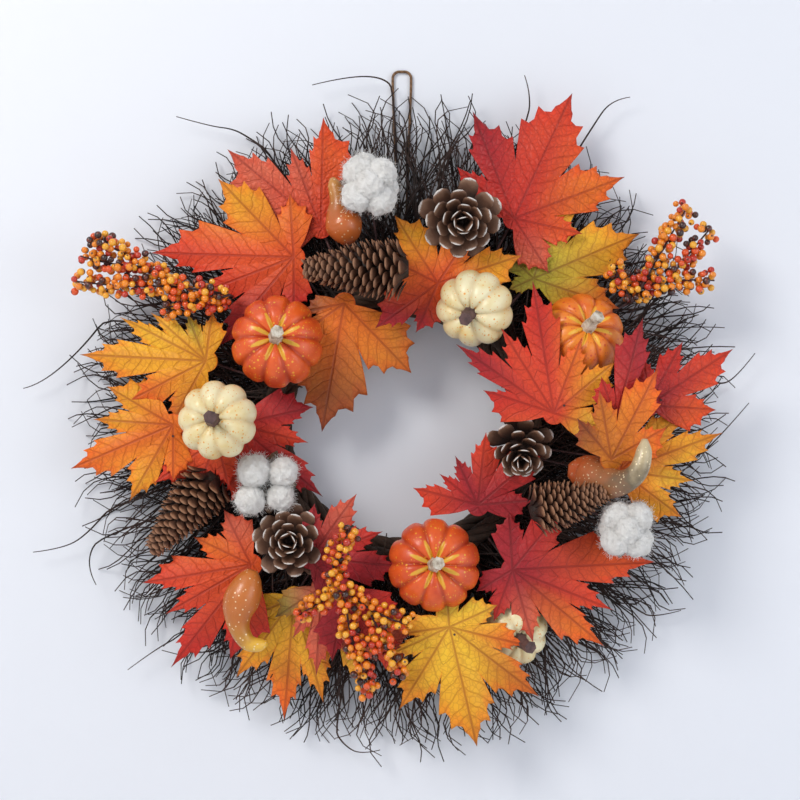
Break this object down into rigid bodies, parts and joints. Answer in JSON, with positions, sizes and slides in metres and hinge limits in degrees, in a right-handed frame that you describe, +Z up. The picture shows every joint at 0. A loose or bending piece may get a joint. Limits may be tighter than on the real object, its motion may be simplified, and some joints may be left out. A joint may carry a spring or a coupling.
{
  "type": "harvest door wreath",
  "caption": "Round autumn wreath of dark twigs on a wire frame, dressed with leaves, pumpkins, gourds, cones, cotton and berries, hung from a door hook by a hinged wire loop.",
  "frame": {"origin": "inner top of the hanger loop, where the door's hook bears", "axes": "+Z up, +Y back to the door, +X to the right as seen from the front"},
  "size_m": [0.6039, 0.1264, 0.5659],
  "materials": {
    "leaf_red": "printed fabric leaf, red to orange with moulded veins",
    "leaf_salmon": "printed fabric leaf, salmon",
    "leaf_crimson": "printed fabric leaf, crimson",
    "leaf_gold": "printed fabric leaf, golden yellow with orange tips",
    "leaf_amber": "printed fabric leaf, amber to brown",
    "leaf_orange": "printed fabric leaf, orange with yellow and red lobes",
    "pumpkin_stem": "painted foam stem",
    "pumpkin_orange": "painted foam, orange with yellow strokes",
    "pumpkin_cream": "painted foam, cream with orange specks",
    "gourd_skin": "painted foam with glitter specks",
    "spruce_cone": "dry cone scales",
    "frosted_cone": "dry open scales with white frosted tips",
    "cotton": "loose cotton",
    "husk": "dry husk",
    "berry": "lacquered foam berry",
    "berry_stem": "wrapped wire, dark purple-brown",
    "stem_wire": "dark covered wire",
    "frame_steel": "dark green enamel",
    "hanger_wire": "brown paper-covered wire",
    "vine": "dark stripped vine",
    "twig": "dark stiff twig"
  },
  "bodies": {
    "wreath": {"berries": "berry", "berry_stems": "berry_stem", "binding_wire": "stem_wire", "cotton_boll_1": "cotton", "cotton_boll_2": "cotton", "cotton_boll_3": "cotton", "cotton_husks": "husk", "gourd_1": "gourd_skin", "gourd_2": "gourd_skin", "gourd_3": "gourd_skin", "leaf_bottom_crimson": "leaf_crimson", "leaf_bottom_gold": "leaf_gold", "leaf_bottom_salmon": "leaf_salmon", "leaf_bottom_yellow": "leaf_gold", "leaf_inner_low_crimson": "leaf_crimson", "leaf_left_gold": "leaf_gold", "leaf_left_inner_red": "leaf_crimson", "leaf_left_low_orange": "leaf_orange", "leaf_left_outer_gold": "leaf_gold", "leaf_lower_left_orange": "leaf_orange", "leaf_lower_left_yellow": "leaf_gold", "leaf_lower_right_crimson": "leaf_crimson", "leaf_right_amber": "leaf_amber", "leaf_right_gold": "leaf_gold", "leaf_right_inner_low": "leaf_crimson", "leaf_right_inner_red": "leaf_red", "leaf_right_narrow_red": "leaf_red", "leaf_right_outer_red": "leaf_red", "leaf_top_curled": "leaf_orange", "leaf_top_inner_amber": "leaf_amber", "leaf_top_left_orange": "leaf_orange", "leaf_top_left_salmon": "leaf_salmon", "leaf_top_right_red": "leaf_red", "leaf_top_right_yellow": "leaf_gold", "open_cone_1": "frosted_cone", "open_cone_2": "frosted_cone", "open_cone_3": "frosted_cone", "pick_wires": "stem_wire", "pumpkin_1": "pumpkin_orange", "pumpkin_2": "pumpkin_orange", "pumpkin_3": "pumpkin_orange", "pumpkin_4": "pumpkin_cream", "pumpkin_5": "pumpkin_cream", "pumpkin_6": "pumpkin_cream", "pumpkin_stems": "pumpkin_stem", "spruce_cone_1": "spruce_cone", "spruce_cone_2": "spruce_cone", "spruce_cone_3": "spruce_cone", "stray_twigs": "twig", "twig_bundle_1": "twig", "twig_bundle_2": "twig", "twig_bundle_3": "twig", "twig_bundle_4": "twig", "twig_bundle_5": "twig", "twig_bundle_6": "twig", "vine_coil_1": "vine", "vine_coil_2": "vine", "vine_coil_3": "vine", "wire_frame": "frame_steel"},
    "hanger": {"hanger_loop": "hanger_wire"}
  },
  "joints": [
    {"name": "hanger_fold", "type": "hinge", "parent": "wreath", "child": "hanger", "pos_m": [0, -0.003, -0.187], "axis": [-1, 0, 0], "range_deg": [0, 150]}
  ]
}
